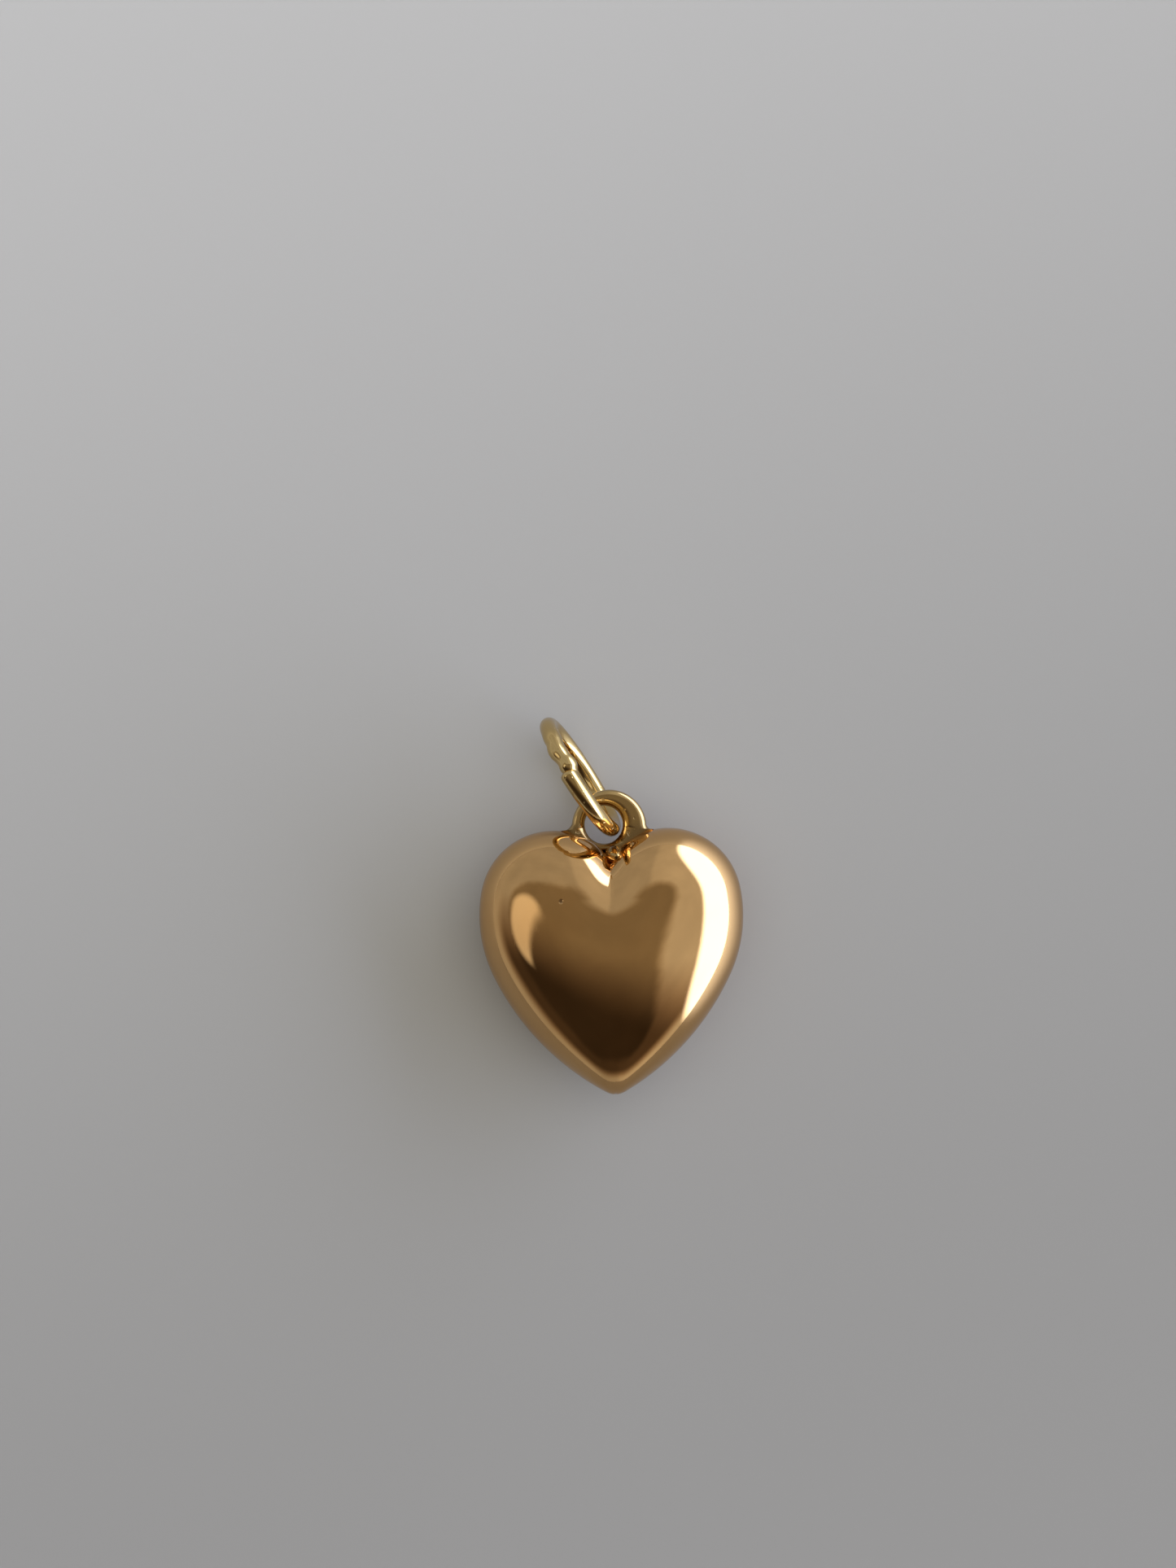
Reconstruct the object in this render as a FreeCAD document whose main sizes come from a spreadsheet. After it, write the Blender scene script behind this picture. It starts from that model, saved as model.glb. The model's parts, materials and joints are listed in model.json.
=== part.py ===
import FreeCAD, Part
import Sketcher
import math
import os

# A puffed heart pendant: two die-struck hollow halves soldered rim to rim,
# a hanging eye seated in the notch with a bead of solder, and a jump ring.
# It is modelled lying on its back: +Z up, +Y towards the eye, +X to the right.
# While it is built, the mid-plane of the heart is Z = 0 and the centres of
# the two lobes lie on Y = 0. The last step sets it down on Z = 0.

os.makedirs("parts", exist_ok=True)
doc = FreeCAD.newDocument("puffy_heart_pendant")

# Driving dimensions, in millimetres and degrees
sizes = {
    # Outline of the heart: four tangent arcs a side, from the notch to the tip
    "lobe_radius": 3.482,
    "lobe_spread": 0.78,
    "lobe_end_angle": 10.9,
    "flank_radius": 6.622,
    "flank_end_angle": -25.6,
    "side_radius": 12.506,
    "tip_radius": 0.9,
    # Puffed form
    "heart_thickness": 6.5,
    "crest_below_lobes": 2.2,
    "crease_strength": 2.6,
    "crease_growth": 3.0,
    "dome_fullness": 0.25,
    "shell_wall": 0.3,
    # Hanging eye, a drilled lug with soft edges and flared feet
    "eye_radius": 1.77,
    "eye_rise": 0.108,
    "eye_thickness": 0.86,
    "eye_hole_radius": 0.9,
    "eye_hole_left": 0.25,
    "eye_hole_up": 0.12,
    "eye_edge_round": 0.3,
    "eye_hole_round": 0.26,
    "left_flare_radius": 0.5,
    "right_flare_radius": 0.3,
    "eye_root_half_width": 1.0,
    "eye_web_under_hole": 0.33,
    # Solder bead that fills the root of the notch
    "bead_half_width": 0.62,
    "bead_half_length": 0.42,
    "bead_half_depth": 0.98,
    "bead_above_notch": 0.16,
    "bead_right": 0.3,
    # Jump ring, one turn cut from a coil of round wire and soldered shut
    "ring_outer_diameter": 6.5,
    "ring_wire_diameter": 0.8,
    "ring_end_offset": 0.12,
    "ring_end_step": 0.12,
    "ring_swing": 31.2,
    "ring_lean": 6.4,
    "ring_seat_turn": 43.0,
    "ring_running_gap": 0.08,
    "ring_join_angle": 96.0,
    "ring_join_opening": 1.5,
    "ring_lump_half_length": 0.72,
    "ring_lump_proud": 0.05,
}

sheet = doc.addObject("Spreadsheet::Sheet", "sizes")
for row, (alias, value) in enumerate(sizes.items(), start=1):
    sheet.set(f"A{row}", alias)
    sheet.set(f"B{row}", str(value))
    sheet.setAlias(f"B{row}", alias)
doc.recompute()


def size(alias):
    """The value that the sheet holds now."""
    return float(sheet.get(alias))


def polar(centre, radius, degrees):
    """A point of the plan on a circle."""
    turn = math.radians(degrees)
    return FreeCAD.Vector(centre.x + radius*math.cos(turn), centre.y + radius*math.sin(turn), 0)


# Outline of the heart, as arcs of (centre, radius, first angle, last angle)
def lobe_centre(side):
    """Centre of the right lobe (side 1) or of the left one (side -1)."""
    return FreeCAD.Vector(side*size("lobe_radius")*size("lobe_spread"), 0, 0)


def notch_height():
    """Where the two lobes of the outline meet, above their centres."""
    return size("lobe_radius")*math.sqrt(1 - size("lobe_spread")**2)


def eye_hole_centre():
    """Middle of the hole in the eye, which the ring swings about."""
    height = size("lobe_radius") + size("eye_rise") + size("eye_hole_up")
    return FreeCAD.Vector(-size("eye_hole_left"), height, 0)


def half_outline(inset):
    """The right half of the outline, offset inwards, from the notch to the tip."""
    lobe_end = size("lobe_end_angle")
    flank_end = size("flank_end_angle")
    lobe = lobe_centre(1)
    flank = polar(lobe, size("lobe_radius") - size("flank_radius"), lobe_end)
    side = polar(flank, size("flank_radius") - size("side_radius"), flank_end)
    to_tip_arc = size("side_radius") - size("tip_radius")
    tip_turn = -math.degrees(math.acos(-side.x/to_tip_arc))
    tip = polar(side, to_tip_arc, tip_turn)
    notch_turn = math.degrees(math.acos(-lobe.x/(size("lobe_radius") - inset)))
    return [
        (lobe, size("lobe_radius") - inset, notch_turn, lobe_end),
        (flank, size("flank_radius") - inset, lobe_end, flank_end),
        (side, size("side_radius") - inset, flank_end, tip_turn),
        (tip, size("tip_radius") - inset, tip_turn, -90.0),
    ]


# The ribs that the surface is drawn through: how many leave each arc, and steps in half a rib
STATIONS_PER_ARC = (13, 5, 8, 4)
RIB_STEPS = 8


def outline_stations(inset):
    """Places along the half outline: (distance run, point, direction of the normal)."""
    run = 0.0
    found = []
    for (centre, radius, first, last), count in zip(half_outline(inset), STATIONS_PER_ARC):
        length = radius*math.radians(first - last)
        for step in range(count):
            share = step/count
            turn = first + (last - first)*share
            found.append((run + length*share, polar(centre, radius, turn), turn))
        run += length
    found.append((run, polar(centre, radius, last), last))
    return found


# Puffed surface of one half
def spine_height(y, notch_y, tip_y, height):
    """Height of the dome over the line of symmetry: an ellipse that is pushed off its middle."""
    crest_y = -size("crest_below_lobes")
    half = (notch_y - tip_y)/2
    push = crest_y - (notch_y + tip_y)/2
    past = y - crest_y
    share = 2*past/(half + math.sqrt(half**2 - 4*push*past))
    return height*math.sqrt(max(0.0, 1 - share**2))


def crease(y, notch_y):
    """How strongly the two lobes rise from the valley between them, more and more to the notch."""
    crest_y = -size("crest_below_lobes")
    share = max(0.0, (y - crest_y)/(notch_y - crest_y))
    return 1 + size("crease_strength")*share**size("crease_growth")


def rib(rim, normal_turn, notch_y, tip_y, height):
    """One rib of the dome, from the right rim over the spine to the left rim.

    In plan each half of the rib is a circular arc that leaves the line of
    symmetry and meets the outline at right angles. Its height follows an
    ellipse, raised beside the crease, and it stands upright on the rim.
    """
    half_turn = math.radians(normal_turn)/2
    start_y = rim.y - rim.x*math.tan(half_turn)
    chord = rim.x/math.cos(half_turn)
    top = spine_height(start_y, notch_y, tip_y, height)
    swell = crease(start_y, notch_y)
    full = size("dome_fullness")
    right = []
    for step in range(RIB_STEPS + 1):
        rise = step/RIB_STEPS
        out = 1 - rise**2
        bend = half_turn*out
        reach = chord*(math.sin(bend)/math.sin(half_turn) if half_turn else out)
        x = reach*math.cos(bend)
        y = start_y + reach*math.sin(bend)
        z = rise*top*math.sqrt(1 + swell*out + full*out**2)
        right.append(FreeCAD.Vector(x, y, z))
    left = [FreeCAD.Vector(-p.x, p.y, p.z) for p in reversed(right[:-1])]
    upright = FreeCAD.Vector(0, 0, top*math.sqrt(1 + swell + full))
    return right + left, upright


def dome_surface(inset):
    """The outer surface of the front half, or its inner one with the wall as inset."""
    stations = outline_stations(inset)
    notch_y = stations[0][1].y
    tip_y = stations[-1][1].y
    height = size("heart_thickness")/2 - inset
    across = [step/RIB_STEPS - 1 for step in range(2*RIB_STEPS + 1)]
    along = [run/stations[-1][0] for run, rim, turn in stations]
    rows = []
    for run, rim, turn in stations[1:-1]:
        points, upright = rib(rim, turn, notch_y, tip_y, height)
        curve = Part.BSplineCurve()
        curve.interpolate(Points=points, Parameters=across, InitialTangent=upright,
                          FinalTangent=-upright, Scale=False)
        rows.append(curve.getPoles())
    notch = [FreeCAD.Vector(0, notch_y, 0)]*len(rows[0])
    tip = [FreeCAD.Vector(0, tip_y, 0)]*len(rows[0])
    net = []
    for column in zip(notch, *rows, tip):
        line = Part.BSplineCurve()
        line.interpolate(Points=list(column), Parameters=along)
        net.append(line.getPoles())
    surface = Part.BSplineSurface()
    surface.buildFromPolesMultsKnots(net, curve.getMultiplicities(), line.getMultiplicities(),
                                     curve.getKnots(), line.getKnots(), False, False, 3, 3)
    return surface


def rim_wire(dome):
    """The edges of a dome that lie on the seam between the two halves."""
    return Part.Wire(Part.sortEdges([edge for edge in dome.Edges if not edge.Degenerated])[0])


def closed_solid(faces):
    """A solid bounded by these faces."""
    shell = Part.makeShell(faces)
    shell.sewShape()
    solid = Part.makeSolid(shell)
    if solid.Volume < 0:
        solid.reverse()
    return solid


def struck_half():
    """The front half: the outer dome, the inner one, and the flat rim between them."""
    outer = dome_surface(0).toShape()
    inner = dome_surface(size("shell_wall")).toShape()
    seam = Part.makeFace([rim_wire(outer), rim_wire(inner)], "Part::FaceMakerBullseye")
    return closed_solid([outer, inner, seam])


def over_mid_plane(shape):
    """The same shape on the other side of the seam."""
    return shape.mirror(FreeCAD.Vector(), FreeCAD.Vector(0, 0, 1))


def filled_form():
    """The outer form of the whole heart, which the eye and the solder are fitted to."""
    outer = dome_surface(0).toShape()
    seam = Part.makeFace(rim_wire(outer), "Part::FaceMakerSimple")
    front = closed_solid([outer, seam])
    return front.fuse(over_mid_plane(front)).removeSplitter()


# The two struck halves
def shape_object(name, shape):
    """A document object that holds a shape worked out here."""
    item = doc.addObject("Part::Feature", name)
    item.Shape = shape
    return item


front_half = struck_half()
front_shell = shape_object("front_shell", front_half)
back_shell = shape_object("back_shell", over_mid_plane(front_half))
heart_form = shape_object("heart_form", filled_form())


# Hanging eye
EYE_CENTRE = "sizes.lobe_radius + sizes.eye_rise"
LOBE_PLACE = "sizes.lobe_radius*sizes.lobe_spread"
EYE_UNDERSIDE = f"{EYE_CENTRE} + sizes.eye_hole_up - sizes.eye_hole_radius - sizes.eye_web_under_hole"
NOTCH = "sizes.lobe_radius*sqrt(1 - sizes.lobe_spread^2)"
CLOSE_ENOUGH = 1e-6

# How a sketch counts the points of a curve, and its own axes backwards from the last
CURVE_POINTS = ("none", "start", "end", "centre")
START = CURVE_POINTS.index("start")
END = CURVE_POINTS.index("end")
CENTRE = CURVE_POINTS.index("centre")
OWN_AXES = ("vertical", "horizontal")
X_AXIS = OWN_AXES.index("horizontal") - len(OWN_AXES)
Y_AXIS = OWN_AXES.index("vertical") - len(OWN_AXES)
ORIGIN = X_AXIS


def body_sketch(body, name):
    """A sketch on the mid-plane of a body."""
    plane = next(item for item in body.Origin.OriginFeatures if item.Role == "XY_Plane")
    sketch = body.newObject("Sketcher::SketchObject", name)
    sketch.AttachmentSupport = [(plane, "")]
    sketch.MapMode = "FlatFace"
    return sketch


def drive(sketch, name, formula, *constraint):
    """Adds a dimension to a sketch and binds it to the sheet."""
    here = sketch.addConstraint(Sketcher.Constraint(*constraint))
    sketch.renameConstraint(here, name)
    sketch.setExpression(f"Constraints.{name}", formula)


def arc(centre, radius, first, last):
    """A counter-clockwise arc, between two directions from its centre."""
    circle = Part.Circle(centre, FreeCAD.Vector(0, 0, 1), radius)
    return Part.ArcOfCircle(circle, math.radians(first), math.radians(last))


def heading(start, end):
    """The direction from one point of the plan to another."""
    return math.degrees(math.atan2(end.y - start.y, end.x - start.x))


def flare_centre(eye, lobe, flare_radius):
    """Centre of the circle outside both the eye and the lobe that touches both."""
    to_eye = size("eye_radius") + flare_radius
    to_lobe = size("lobe_radius") + flare_radius
    apart = eye.distanceToPoint(lobe)
    along = (to_eye**2 - to_lobe**2 + apart**2)/(2*apart)
    aside = math.sqrt(to_eye**2 - along**2)
    towards = (lobe - eye).normalize()
    outwards = FreeCAD.Vector(towards.y, -towards.x, 0)
    if outwards.x*lobe.x < 0:
        outwards = -outwards
    return eye + towards*along + outwards*aside


def eye_outline(sketch):
    """A round head on two flared feet, each foot tangent to the head and to a lobe."""
    head = FreeCAD.Vector(0, size("lobe_radius") + size("eye_rise"), 0)
    left_lobe = lobe_centre(-1)
    right_lobe = lobe_centre(1)
    left_radius = size("left_flare_radius")
    right_radius = size("right_flare_radius")
    left = flare_centre(head, left_lobe, left_radius)
    right = flare_centre(head, right_lobe, right_radius)
    left_toe = polar(left, left_radius, heading(left, left_lobe))
    right_toe = polar(right, right_radius, heading(right, right_lobe))
    root_y = eye_hole_centre().y - size("eye_hole_radius") - size("eye_web_under_hole")
    left_root = FreeCAD.Vector(-size("eye_root_half_width"), root_y, 0)
    right_root = FreeCAD.Vector(size("eye_root_half_width"), root_y, 0)
    top = sketch.addGeometry(arc(head, size("eye_radius"), heading(head, right), heading(head, left)))
    left_flare = sketch.addGeometry(
        arc(left, left_radius, heading(left, left_lobe), heading(left, head)))
    left_side = sketch.addGeometry(Part.LineSegment(left_toe, left_root))
    underside = sketch.addGeometry(Part.LineSegment(left_root, right_root))
    right_side = sketch.addGeometry(Part.LineSegment(right_root, right_toe))
    right_flare = sketch.addGeometry(
        arc(right, right_radius, heading(right, head), heading(right, right_lobe)))
    upright = FreeCAD.Vector(0, 0, 1)
    lobes = [sketch.addGeometry(Part.Circle(lobe, upright, size("lobe_radius")), True)
             for lobe in (left_lobe, right_lobe)]
    for joint in ((left_flare, START, left_side, START), (left_side, END, underside, START),
                  (underside, END, right_side, START), (right_side, END, right_flare, END)):
        sketch.addConstraint(Sketcher.Constraint("Coincident", *joint))
    for touch in ((top, END, left_flare, END), (top, START, right_flare, START),
                  (left_flare, START, lobes[0]), (right_flare, END, lobes[1])):
        sketch.addConstraint(Sketcher.Constraint("Tangent", *touch))
    sketch.addConstraint(Sketcher.Constraint("Horizontal", underside))
    sketch.addConstraint(Sketcher.Constraint("PointOnObject", top, CENTRE, Y_AXIS))
    for lobe in lobes:
        sketch.addConstraint(Sketcher.Constraint("PointOnObject", lobe, CENTRE, X_AXIS))
    drive(sketch, "head_radius", "sizes.eye_radius", "Radius", top, size("eye_radius"))
    drive(sketch, "head_height", EYE_CENTRE, "DistanceY", ORIGIN, START, top, CENTRE, head.y)
    drive(sketch, "left_flare", "sizes.left_flare_radius", "Radius", left_flare, left_radius)
    drive(sketch, "right_flare", "sizes.right_flare_radius", "Radius", right_flare, right_radius)
    for name, lobe, ends in (("left_lobe", lobes[0], (lobes[0], CENTRE, ORIGIN, START)),
                             ("right_lobe", lobes[1], (ORIGIN, START, lobes[1], CENTRE))):
        drive(sketch, f"{name}_radius", "sizes.lobe_radius", "Radius", lobe, size("lobe_radius"))
        drive(sketch, f"{name}_place", LOBE_PLACE, "DistanceX", *ends, right_lobe.x)
    drive(sketch, "root_left", "sizes.eye_root_half_width",
          "DistanceX", underside, START, ORIGIN, START, right_root.x)
    drive(sketch, "root_right", "sizes.eye_root_half_width",
          "DistanceX", ORIGIN, START, underside, END, right_root.x)
    drive(sketch, "root_height", EYE_UNDERSIDE, "DistanceY", ORIGIN, START, underside, START, root_y)


def level_edges(shape, height, wanted):
    """Names of the edges that lie at a height on either side and satisfy a test."""
    return [f"Edge{number}" for number, edge in enumerate(shape.Edges, start=1)
            if abs(edge.BoundBox.ZLength) < CLOSE_ENOUGH
            and abs(abs(edge.BoundBox.ZMin) - height) < CLOSE_ENOUGH and wanted(edge)]


def eye_lug():
    """The lug before it is fitted to the heart: padded, drilled and rounded."""
    body = doc.addObject("PartDesign::Body", "eye_lug")
    outline = body_sketch(body, "eye_outline")
    eye_outline(outline)
    pad = body.newObject("PartDesign::Pad", "eye_pad")
    pad.Profile = outline
    pad.SideType = "Symmetric"
    pad.setExpression("Length", "sizes.eye_thickness")
    hole_sketch = body_sketch(body, "eye_hole")
    middle = eye_hole_centre()
    hole = hole_sketch.addGeometry(
        Part.Circle(middle, FreeCAD.Vector(0, 0, 1), size("eye_hole_radius")))
    drive(hole_sketch, "hole_radius", "sizes.eye_hole_radius", "Radius", hole, size("eye_hole_radius"))
    drive(hole_sketch, "hole_left", "sizes.eye_hole_left",
          "DistanceX", hole, CENTRE, ORIGIN, START, -middle.x)
    drive(hole_sketch, "hole_height", f"{EYE_CENTRE} + sizes.eye_hole_up",
          "DistanceY", ORIGIN, START, hole, CENTRE, middle.y)
    drilled = body.newObject("PartDesign::Pocket", "eye_drilled")
    drilled.Profile = hole_sketch
    drilled.SideType = "Symmetric"
    drilled.Type = "ThroughAll"
    doc.recompute()
    face = size("eye_thickness")/2
    hole_radius = size("eye_hole_radius")

    def on_hole(edge):
        return hasattr(edge.Curve, "Radius") and abs(edge.Curve.Radius - hole_radius) < CLOSE_ENOUGH

    def on_outline(edge):
        return hasattr(edge.Curve, "Radius") and not on_hole(edge)

    softened = body.newObject("PartDesign::Fillet", "eye_softened")
    softened.Base = (drilled, level_edges(drilled.Shape, face, on_outline))
    softened.setExpression("Radius", "sizes.eye_edge_round")
    doc.recompute()
    eased = body.newObject("PartDesign::Fillet", "eye_hole_eased")
    eased.Base = (softened, level_edges(softened.Shape, face, on_hole))
    eased.setExpression("Radius", "sizes.eye_hole_round")
    doc.recompute()
    return body


def cut_to_fit(name, piece, *seats):
    """A piece with its seats cut out of it, so that it sits on them face to face."""
    for place, seat in enumerate(seats):
        last = seat is seats[-1]
        fitted = doc.addObject("Part::Cut", name if last else f"{name}_cut_{place}")
        fitted.Base = piece
        fitted.Tool = seat
        piece = fitted
    doc.recompute()
    return fitted


lug = eye_lug()
hanging_eye = cut_to_fit("hanging_eye", lug, heart_form)


# Solder bead in the root of the notch
bead = doc.addObject("Part::Ellipsoid", "bead")
bead.setExpression("Radius1", "sizes.bead_half_depth")
bead.setExpression("Radius2", "sizes.bead_half_width")
bead.setExpression("Radius3", "sizes.bead_half_length")
bead.setExpression("Placement.Base.x", "sizes.bead_right")
bead.setExpression("Placement.Base.y", f"{NOTCH} + sizes.bead_above_notch")
eye_solder = cut_to_fit("eye_solder", bead, heart_form, lug)


# Jump ring
def ring_wire():
    """One turn of wire with a soldered join, about its own centre, with the join on +X."""
    turn = doc.addObject("Part::Helix", "ring_turn")
    turn.setExpression("Pitch", "sizes.ring_end_offset")
    turn.setExpression("Height", "sizes.ring_end_offset*(1 - sizes.ring_join_opening/360)")
    turn.setExpression("Radius", "(sizes.ring_outer_diameter - sizes.ring_wire_diameter"
                                 " - sizes.ring_end_step)/2")
    turn.setExpression("Angle", "atan(sizes.ring_end_step/sizes.ring_end_offset)")
    section = doc.addObject("Part::Circle", "wire_section")
    section.setExpression("Radius", "sizes.ring_wire_diameter/2")
    section.Placement.Rotation = FreeCAD.Rotation(FreeCAD.Vector(1, 0, 0), -90)
    section.setExpression("Placement.Base.x", "ring_turn.Radius")
    wire = doc.addObject("Part::Sweep", "ring_wire")
    wire.Sections = [section]
    wire.Spine = (turn, ["Edge1"])
    wire.Solid = True
    wire.Frenet = True
    lump = doc.addObject("Part::Ellipsoid", "join_lump")
    lump.setExpression("Radius1", "sizes.ring_wire_diameter/2 + sizes.ring_lump_proud")
    lump.setExpression("Radius2", "sizes.ring_wire_diameter/2 + sizes.ring_lump_proud")
    lump.setExpression("Radius3", "sizes.ring_lump_half_length")
    lump.setExpression("Placement.Base.x",
                       "(sizes.ring_outer_diameter - sizes.ring_wire_diameter)/2")
    lump.setExpression("Placement.Base.z", "sizes.ring_end_offset/2")
    ring = doc.addObject("Part::Fuse", "jump_ring")
    ring.Base = wire
    ring.Tool = lump
    doc.recompute()
    return ring


def ring_pose():
    """Where the ring stands: through the hole of the eye, on the surface, leaning a little."""
    swing = math.radians(size("ring_swing"))
    lean = math.radians(size("ring_lean"))
    wire_radius = size("ring_wire_diameter")/2
    radius = size("ring_outer_diameter")/2 - wire_radius
    outwards = FreeCAD.Vector(-math.sin(swing), math.cos(swing), 0)
    rightwards = FreeCAD.Vector(math.cos(swing), math.sin(swing), 0)
    up = FreeCAD.Vector(0, 0, 1)*math.cos(lean) - rightwards*math.sin(lean)
    centre_height = radius*math.cos(lean) + wire_radius - size("heart_thickness")/2
    play = size("eye_hole_radius") - wire_radius - size("ring_running_gap")
    seat_turn = math.radians(size("ring_seat_turn"))
    seat = rightwards*play*math.sin(seat_turn) - outwards*play*math.cos(seat_turn)
    reach = math.sqrt(radius**2 - (centre_height/math.cos(lean))**2)
    centre = eye_hole_centre() + seat + outwards*reach + FreeCAD.Vector(0, 0, centre_height)
    join = math.radians(size("ring_join_angle"))
    to_join = up*math.sin(join) - outwards*math.cos(join)
    along = up*math.cos(join) + outwards*math.sin(join)
    turn = FreeCAD.Rotation(to_join, along, to_join.cross(along), "XYZ")
    middle = FreeCAD.Vector(0, 0, size("ring_end_offset")/2)
    return FreeCAD.Placement(centre - turn.multVec(middle), turn)


jump_ring = ring_wire()
jump_ring.Placement = ring_pose()
doc.recompute()


# Setting the pendant down, with the middle of its box over the origin
pieces = [front_shell, back_shell, hanging_eye, eye_solder, jump_ring]
extent = FreeCAD.BoundBox()
for piece in pieces:
    extent.add(piece.Shape.optimalBoundingBox(False, False))
set_down = FreeCAD.Placement(
    FreeCAD.Vector(-extent.Center.x, -extent.Center.y, size("heart_thickness")/2),
    FreeCAD.Rotation())
for piece in pieces:
    piece.Placement = set_down.multiply(piece.Placement)
doc.recompute()


# Checks, then the files
for item in doc.Objects:
    if "Invalid" in item.State or "Error" in item.State:
        raise RuntimeError(f"{item.Label} was left failed: {item.State}")
for piece in pieces:
    if piece.Shape.isNull() or not piece.Shape.isValid():
        raise RuntimeError(f"{piece.Label} has no valid shape")
    if len(piece.Shape.Solids) != 1:
        raise RuntimeError(f"{piece.Label} is {len(piece.Shape.Solids)} solids, not one")
    print(f"{piece.Label}: {piece.Shape.Volume:.3f} mm3")
    piece.Shape.exportStep(f"parts/{piece.Label}.step")
hinge = set_down.multVec(eye_hole_centre())
ring_middle = jump_ring.Placement.multVec(FreeCAD.Vector(0, 0, size("ring_end_offset")/2))
print(f"hole of the eye at {hinge.x:.4f}, {hinge.y:.4f}, {hinge.z:.4f}")
print(f"middle of the ring at {ring_middle.x:.4f}, {ring_middle.y:.4f}, {ring_middle.z:.4f}")
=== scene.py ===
# %% [markdown]
# # A puffed heart pendant in polished gold
# The real thing is small, barely 13 mm wide. Two thin gold halves are struck in a die and soldered
# rim to rim, a drilled lug stands in the notch, and a round jump ring hangs in it.
# Polished metal has hardly any colour of its own that one sees by itself: it shows what is around
# it. So the forms have to be smooth, and the light around the piece matters as much as the metal.
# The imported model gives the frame. Every piece below is made in that frame, in metres.

# %% Load the frame
import json
import math

import bmesh
import bpy
import numpy as np
from mathutils import Matrix, Vector, noise


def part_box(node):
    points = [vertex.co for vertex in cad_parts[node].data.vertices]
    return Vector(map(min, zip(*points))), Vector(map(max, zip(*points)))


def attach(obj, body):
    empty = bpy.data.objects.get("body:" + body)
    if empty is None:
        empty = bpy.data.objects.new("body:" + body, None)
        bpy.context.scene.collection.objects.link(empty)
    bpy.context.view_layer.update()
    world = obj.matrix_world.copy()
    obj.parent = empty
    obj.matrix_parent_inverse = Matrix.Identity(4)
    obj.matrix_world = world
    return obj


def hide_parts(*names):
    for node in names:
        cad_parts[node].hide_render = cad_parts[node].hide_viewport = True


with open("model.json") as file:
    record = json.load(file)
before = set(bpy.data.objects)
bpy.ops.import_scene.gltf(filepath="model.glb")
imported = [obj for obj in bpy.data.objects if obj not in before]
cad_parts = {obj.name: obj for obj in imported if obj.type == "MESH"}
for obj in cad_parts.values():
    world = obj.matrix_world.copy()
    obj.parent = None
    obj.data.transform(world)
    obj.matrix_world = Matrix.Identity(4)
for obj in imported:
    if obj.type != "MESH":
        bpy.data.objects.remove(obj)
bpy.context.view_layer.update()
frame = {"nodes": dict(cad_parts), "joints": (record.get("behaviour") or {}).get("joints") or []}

scene = bpy.context.scene
MM = 0.001
print("nodes:", sorted(frame["nodes"]))

# %% [markdown]
# ## Where the heart lies
# The outline is drawn in millimetres from the line through the centres of the two lobes. The box
# of the front half says where that line and the seam are, so nothing is placed by eye.

# %% Find the seam and the line of the lobes
LOBE_RADIUS = 3.482
heart_low, heart_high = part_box("front_shell")
SEAM_Z = heart_low.z/MM
LOBE_LINE_Y = heart_high.y/MM - LOBE_RADIUS
print(f"seam at z {SEAM_Z:.3f} mm, lobe centres at y {LOBE_LINE_Y:.3f} mm")


def to_row(points):
    """Points in millimetres about the lobe line and the seam, in metres in the row frame."""
    return (np.asarray(points, float) + (0, LOBE_LINE_Y, SEAM_Z))*MM


# %% [markdown]
# ## From lists of points to a piece
# Most pieces here come from a rule, so their points are worked out in rows. This helper turns rows
# of points into a mesh object, joins points that fall together, and shades it smooth. Edges that
# are really sharp, such as the rim of a sheet, are marked, so that shading doesn't smear over them.

# %% Make a piece from points
def piece_from(name, points, faces, sharp_degrees=50):
    """A mesh object of these points and faces, at the origin, joined up and smooth."""
    mesh = bpy.data.meshes.new(name)
    mesh.from_pydata([tuple(p) for p in points], [], faces)
    work = bmesh.new()
    work.from_mesh(mesh)
    bmesh.ops.remove_doubles(work, verts=work.verts, dist=1e-8)
    bmesh.ops.dissolve_degenerate(work, edges=work.edges, dist=1e-9)
    bmesh.ops.recalc_face_normals(work, faces=work.faces)
    work.to_mesh(mesh)
    work.free()
    mesh.shade_smooth()
    mesh.set_sharp_from_angle(angle=math.radians(sharp_degrees))
    made = bpy.data.objects.new(name, mesh)
    scene.collection.objects.link(made)
    print(f"{name}: {len(mesh.vertices)} points, {len(mesh.polygons)} faces")
    return made


def grid_faces(rows, columns, first=0, around=False):
    """Four-sided faces over rows of points. With around, the last column meets the first."""
    last = columns if around else columns - 1
    return [(first + r*columns + c, first + r*columns + (c + 1) % columns,
             first + (r + 1)*columns + (c + 1) % columns, first + (r + 1)*columns + c)
            for r in range(rows - 1) for c in range(last)]


# %% [markdown]
# ## The outline of the heart
# Four circular arcs a side run smoothly into each other: lobe, flank, side and tip. A jeweller's
# die is drawn the same way, with compasses. Insetting the outline by the thickness of the sheet
# only makes each arc's radius smaller, which is why arcs are used and not a freehand curve.

# %% Draw half the outline
LOBE_SPREAD = 0.78
LOBE_X = LOBE_RADIUS*LOBE_SPREAD
LOBE_END = math.radians(10.9)
FLANK_RADIUS = 6.622
FLANK_END = math.radians(-25.6)
SIDE_RADIUS = 12.506
TIP_RADIUS = 0.9
SHEET = 0.3
HALF_THICKNESS = 3.25
SMOOTHING_LENGTH = 3.2


def on_circle(centre, radius, turn):
    """A point of a circle in the plan."""
    return np.array([centre[0] + radius*math.cos(turn), centre[1] + radius*math.sin(turn)])


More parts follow.
